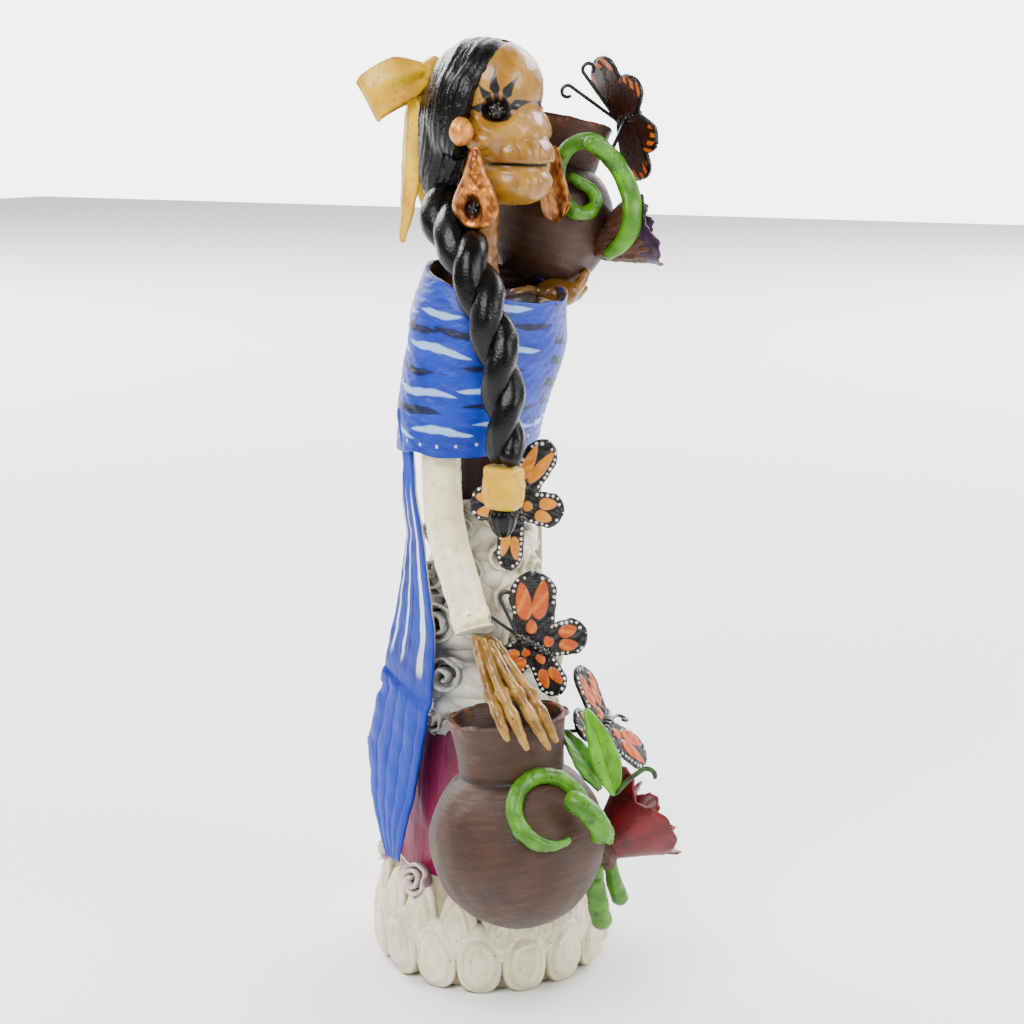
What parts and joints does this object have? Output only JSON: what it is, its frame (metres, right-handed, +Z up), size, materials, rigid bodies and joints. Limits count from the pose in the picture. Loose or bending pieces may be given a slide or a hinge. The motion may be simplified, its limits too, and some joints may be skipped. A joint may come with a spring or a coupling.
{
  "type": "clay catrina figure with water pots and butterflies",
  "caption": "Painted skeleton lady in a long skirt and shawl, carrying two round pots with clay flowers and butterflies on wires.",
  "frame": {"origin": "centre of the ring that the skirt stands on, on the floor plane", "axes": "+Z up; the figure faces -Y; +X is towards its left side, where the upper pot is carried"},
  "size_m": [0.1342, 0.1163, 0.2999],
  "materials": {
    "skin_clay": "ochre clay under amber varnish",
    "hair_black": "glossy black paint over combed clay",
    "shawl_blue": "cobalt blue paint with light and black brush strokes",
    "blouse_white": "cream white paint, varnished",
    "skirt_paint": "magenta at the foot turning dark purple at the waist",
    "petal_white": "off-white paint with a lilac wash",
    "rose_white": "off-white paint with a grey wash",
    "pot_brown": "burnished brown slip, chipped to terracotta at the lip",
    "leaf_green": "bright green paint",
    "flower_red": "crimson paint",
    "flower_purple": "dark purple paint",
    "ribbon_yellow": "warm yellow paint",
    "earring_copper": "copper paint over clay",
    "bead_black": "glossy black bead",
    "monarch_wing": "black with orange cells and white dots",
    "wire_black": "black lacquered iron wire",
    "peg_clay": "bare fired clay"
  },
  "bodies": {
    "figure": {"bow_knot": "ribbon_yellow", "bow_loops": "ribbon_yellow", "bow_tails": "ribbon_yellow", "braid": "hair_black", "braid_tassel": "hair_black", "braid_tie": "ribbon_yellow", "cuff_left": "blouse_white", "cuff_right": "blouse_white", "earring_drops": "earring_copper", "earring_gems": "bead_black", "earring_studs": "earring_copper", "eye_beads": "bead_black", "hair": "hair_black", "hand_left": "skin_clay", "hand_right": "skin_clay", "hem_band": "petal_white", "hem_petals": "petal_white", "hem_rosettes": "petal_white", "neck_peg": "peg_clay", "pot_lower": "pot_brown", "pot_lower_calyx": "pot_brown", "pot_lower_flower": "flower_red", "pot_lower_leaves": "leaf_green", "pot_lower_tendril": "leaf_green", "pot_lower_wire_tendril": "leaf_green", "pot_upper": "pot_brown", "pot_upper_calyx": "pot_brown", "pot_upper_flower": "flower_purple", "pot_upper_leaves": "leaf_green", "pot_upper_tendril": "leaf_green", "rose_garland": "rose_white", "shawl_fringe_left": "shawl_blue", "shawl_fringe_right": "shawl_blue", "shawl_panel_left": "shawl_blue", "shawl_panel_right": "shawl_blue", "shawl_wrap": "shawl_blue", "skirt": "skirt_paint", "skull": "skin_clay", "sleeve_left": "blouse_white", "sleeve_right": "blouse_white", "torso": "skin_clay", "waistband": "skirt_paint"},
    "butterfly_chest": {"butterfly_chest_body": "monarch_wing", "butterfly_chest_stem": "wire_black", "butterfly_chest_wings": "monarch_wing"},
    "butterfly_hip": {"butterfly_hip_body": "monarch_wing", "butterfly_hip_feelers": "wire_black", "butterfly_hip_stem": "wire_black", "butterfly_hip_wings": "monarch_wing"},
    "butterfly_skirt": {"butterfly_skirt_body": "monarch_wing", "butterfly_skirt_feelers": "wire_black", "butterfly_skirt_stem": "wire_black", "butterfly_skirt_wings": "monarch_wing"},
    "butterfly_pot": {"butterfly_pot_body": "monarch_wing", "butterfly_pot_feelers": "wire_black", "butterfly_pot_stem": "wire_black", "butterfly_pot_wings": "monarch_wing"}
  },
  "joints": [
    {"name": "butterfly_chest_flex", "type": "hinge", "parent": "figure", "child": "butterfly_chest", "pos_m": [-0.01389, -0.00264, 0.156], "axis": [-0.9343, 0.3565, 0], "range_deg": [-6, 6]},
    {"name": "butterfly_hip_flex", "type": "hinge", "parent": "figure", "child": "butterfly_hip", "pos_m": [-0.0149, -0.01156, 0.108], "axis": [-0.9638, 0.2666, 0], "range_deg": [-3, 6]},
    {"name": "butterfly_skirt_flex", "type": "hinge", "parent": "figure", "child": "butterfly_skirt", "pos_m": [-0.00544, -0.02147, 0.081], "axis": [-0.9708, -0.2398, 0], "range_deg": [-8, 8]},
    {"name": "butterfly_pot_flex", "type": "hinge", "parent": "figure", "child": "butterfly_pot", "pos_m": [0.03612, -0.02452, 0.2646], "axis": [0.0982, -0.9952, 0], "range_deg": [-6, 6]}
  ]
}
